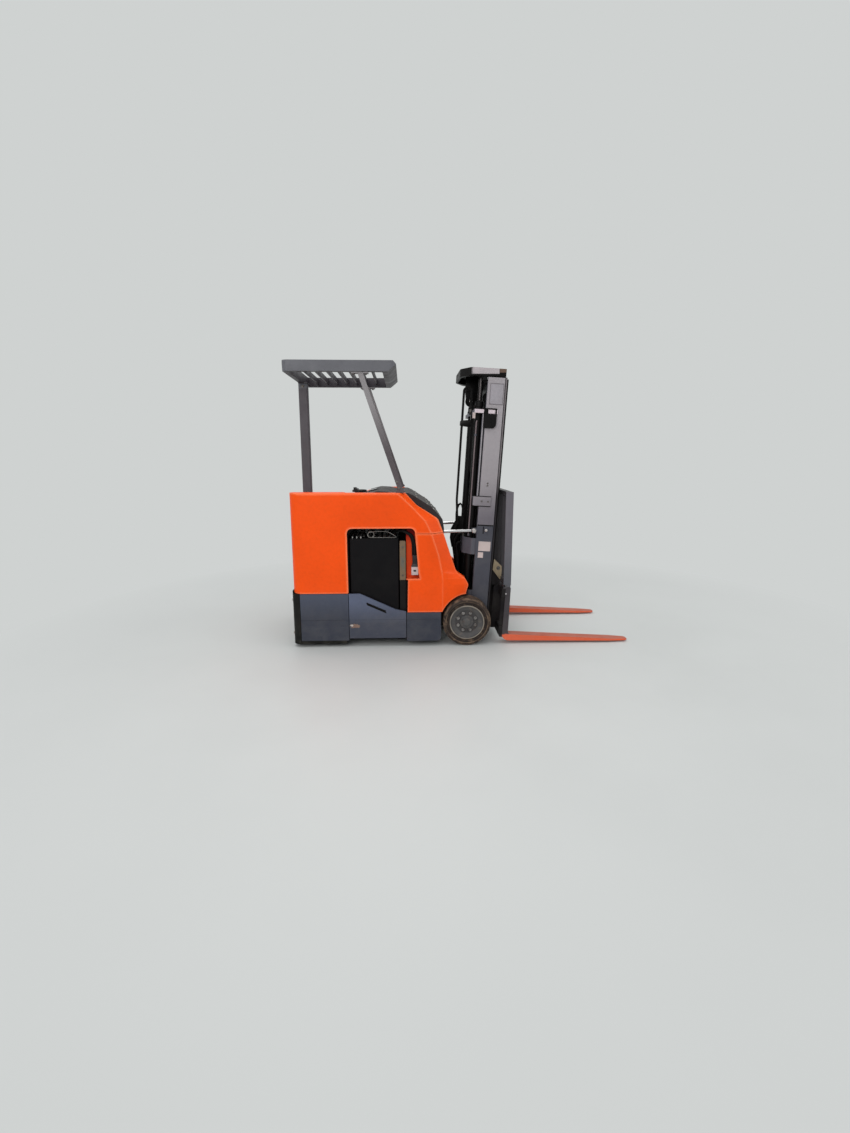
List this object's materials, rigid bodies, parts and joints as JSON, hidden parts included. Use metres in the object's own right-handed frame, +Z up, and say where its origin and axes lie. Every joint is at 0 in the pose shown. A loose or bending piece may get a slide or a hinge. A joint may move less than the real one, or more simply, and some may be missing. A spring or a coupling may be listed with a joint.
{
  "type": "stand-up electric forklift",
  "caption": "Stand-up counterbalanced electric forklift with orange body, overhead guard, telescoping tilting mast, lift-out battery gates and forks lowered.",
  "frame": {"origin": "on the floor under the middle of the truck's overall box", "axes": "+X towards the fork tips, +Y to the truck's left, +Z up"},
  "size_m": [2.8988, 1.05, 2.328],
  "materials": {
    "body_orange": "gloss paint, lightly worn",
    "body_grey": "satin grey-blue paint, scuffed",
    "frame_black": "satin black paint",
    "mast_grey": "satin grey paint, worn",
    "mast_black": "dark greased steel",
    "cover_dark": "grained dark plastic",
    "battery_case": "matt black steel case",
    "retainer": "worn beige-grey paint",
    "tyre": "worn solid rubber",
    "wheel_disc": "dusty grey paint",
    "fork_orange": "orange paint, scraped",
    "chrome": "polished rod",
    "steel": "machined steel",
    "rubber": "black rubber",
    "chain_steel": "oiled chain",
    "pad": "black padded vinyl",
    "plug": "grey moulded plastic"
  },
  "bodies": {
    "chassis": {"chassis_frame": "frame_black", "side_panel_right": "body_orange", "side_panel_left": "body_orange", "fender_right": "body_orange", "fender_left": "body_orange", "rear_skirts": "body_grey", "front_skirts": "body_grey", "rear_bumper": "frame_black", "step_floor": "frame_black", "floor_mat": "rubber", "knee_pad": "pad", "hood": "cover_dark", "console": "cover_dark", "steering_tiller": "cover_dark", "control_handle": "cover_dark", "battery": "battery_case", "battery_retainers": "retainer", "cable_plug": "plug", "battery_lead": "rubber", "overhead_guard": "mast_grey", "rear_post": "mast_grey", "front_posts": "mast_grey", "drive_axle": "frame_black", "tilt_anchors": "frame_black"},
    "gate_right": {"battery_gate_right": "body_grey"},
    "gate_left": {"battery_gate_left": "body_grey"},
    "drive_wheel_right": {"tyre_right": "tyre", "wheel_hub_right": "wheel_disc"},
    "drive_wheel_left": {"tyre_left": "tyre", "wheel_hub_left": "wheel_disc"},
    "steer_unit": {"steer_yoke": "frame_black"},
    "steer_wheels": {"steer_tyres": "tyre", "steer_hubs": "wheel_disc"},
    "mast_outer": {"mast_outer_stage": "mast_grey", "mast_hoses": "rubber", "lift_cylinders": "mast_black"},
    "mast_middle": {"mast_middle_stage": "mast_grey", "lift_rods": "chrome"},
    "mast_inner": {"mast_inner_stage": "mast_grey", "free_lift_cylinder": "mast_black"},
    "free_lift": {"free_lift_head": "steel", "lift_chains": "chain_steel"},
    "carriage_body": {"carriage": "mast_grey", "load_backrest": "mast_grey", "fork_right": "fork_orange", "fork_left": "fork_orange"},
    "tilt_barrels": {"tilt_cylinders": "mast_black"},
    "tilt_rod_body": {"tilt_rods": "chrome"}
  },
  "joints": [
    {"name": "mast_tilt", "type": "hinge", "parent": "chassis", "child": "mast_outer", "pos_m": [0.025, 0, 0.2064], "axis": [0, 1, 0], "range_deg": [-8, 0]},
    {"name": "lift_middle", "type": "slide", "parent": "mast_outer", "child": "mast_middle", "axis": [0.0558, 0, 0.9984], "range_m": [0, 1.6]},
    {"name": "lift_inner", "type": "slide", "parent": "mast_middle", "child": "mast_inner", "axis": [0.0558, 0, 0.9984], "range_m": [0, 1.6]},
    {"name": "carriage_lift", "type": "slide", "parent": "mast_inner", "child": "carriage_body", "axis": [0.0558, 0, 0.9984], "range_m": [0, 1.38]},
    {"name": "free_rod_lift", "type": "slide", "parent": "mast_inner", "child": "free_lift", "axis": [0.0558, 0, 0.9984], "range_m": [0, 0.69]},
    {"name": "tilt_barrel_swing", "type": "hinge", "parent": "chassis", "child": "tilt_barrels", "pos_m": [-0.372, 0, 0.954], "axis": [0, 1, 0], "range_deg": [-1.19, 0.3]},
    {"name": "tilt_rod_slide", "type": "slide", "parent": "tilt_barrels", "child": "tilt_rod_body", "axis": [0.9995, 0, 0.0322], "range_m": [-0.1106, 0.004]},
    {"name": "wheel_right_spin", "type": "hinge", "parent": "chassis", "child": "drive_wheel_right", "pos_m": [0.025, -0.441, 0.2064], "axis": [0, 1, 0], "continuous": true},
    {"name": "wheel_left_spin", "type": "hinge", "parent": "chassis", "child": "drive_wheel_left", "pos_m": [0.025, 0.441, 0.2064], "axis": [0, 1, 0], "continuous": true},
    {"name": "steer_turn", "type": "hinge", "parent": "chassis", "child": "steer_unit", "pos_m": [-1.2, 0.32, 0.35], "axis": [0, 0, 1], "range_deg": [-90, 90]},
    {"name": "steer_wheels_spin", "type": "hinge", "parent": "steer_unit", "child": "steer_wheels", "pos_m": [-1.2, 0.32, 0.133], "axis": [0, 1, 0], "continuous": true},
    {"name": "gate_right_lift", "type": "slide", "parent": "chassis", "child": "gate_right", "axis": [0, 0, 1], "range_m": [0, 0.42]},
    {"name": "gate_left_lift", "type": "slide", "parent": "chassis", "child": "gate_left", "axis": [0, 0, 1], "range_m": [0, 0.42]}
  ],
  "couplings": [
    {"joint": "lift_inner", "follows": "lift_middle", "ratio": 1},
    {"joint": "free_rod_lift", "follows": "carriage_lift", "ratio": 0.5},
    {"joint": "tilt_barrel_swing", "follows": "mast_tilt", "ratio": 0.11186},
    {"joint": "tilt_rod_slide", "follows": "mast_tilt", "m_per_rad": 0.76372}
  ]
}
